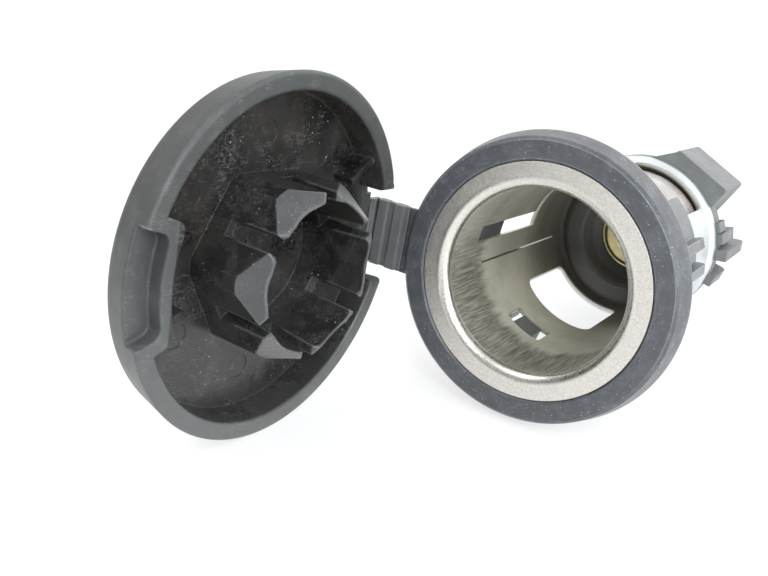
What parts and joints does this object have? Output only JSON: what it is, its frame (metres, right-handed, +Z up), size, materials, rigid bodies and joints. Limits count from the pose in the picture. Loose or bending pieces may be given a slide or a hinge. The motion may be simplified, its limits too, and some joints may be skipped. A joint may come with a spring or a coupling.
{
  "type": "car 12v power socket",
  "caption": "Round 12 V car power socket for a panel, with a metal shell in a black plastic bezel and sleeve, and a strapped cap that swings open.",
  "frame": {"origin": "on the bore axis, in the plane of the bezel flange's rear face, where it rests on the panel", "axes": "-Y out of the mouth along the bore, -X towards the strap and the open cap, +Z up across the strap's width"},
  "size_m": [0.0424, 0.0903, 0.0394],
  "materials": {
    "bezel_plastic": "semi-gloss black moulding with fine handling scratches",
    "cap_plastic": "semi-gloss black moulding, dusty inside",
    "nickel_steel": "satin nickel plate with plug scratches in the bore",
    "insulator_plastic": "matt dark grey moulding",
    "contact_brass": "dull pressed brass",
    "terminal_brass": "pressed brass strip",
    "housing_plastic": "matt black moulding"
  },
  "bodies": {
    "socket": {"bezel": "bezel_plastic", "socket_shell": "nickel_steel", "rear_insulator": "insulator_plastic", "centre_contact": "contact_brass", "contact_rivet": "contact_brass", "positive_terminal": "terminal_brass", "ground_terminal": "terminal_brass", "rear_housing": "housing_plastic"},
    "band": {"strap_band": "cap_plastic"},
    "tongue": {"strap_tongue": "cap_plastic"},
    "cap": {"lid": "cap_plastic"}
  },
  "joints": [
    {"name": "strap_root", "type": "hinge", "parent": "socket", "child": "band", "pos_m": [-0.0174, -0.0017, 0], "axis": [0, 0, 1], "range_deg": [-12.5, 52.5]},
    {"name": "strap_corner", "type": "hinge", "parent": "band", "child": "tongue", "pos_m": [-0.022, -0.0017, 0], "axis": [0, 0, 1], "range_deg": [-25, 6]},
    {"name": "cap_hinge", "type": "hinge", "parent": "tongue", "child": "cap", "pos_m": [-0.02213, -0.0037, 0], "axis": [0, 0, 1], "range_deg": [-15, 65.97]}
  ],
  "couplings": [
    {"joint": "strap_root", "follows": "cap_hinge", "ratio": 0.78763},
    {"joint": "strap_corner", "follows": "cap_hinge", "ratio": -0.36899}
  ]
}
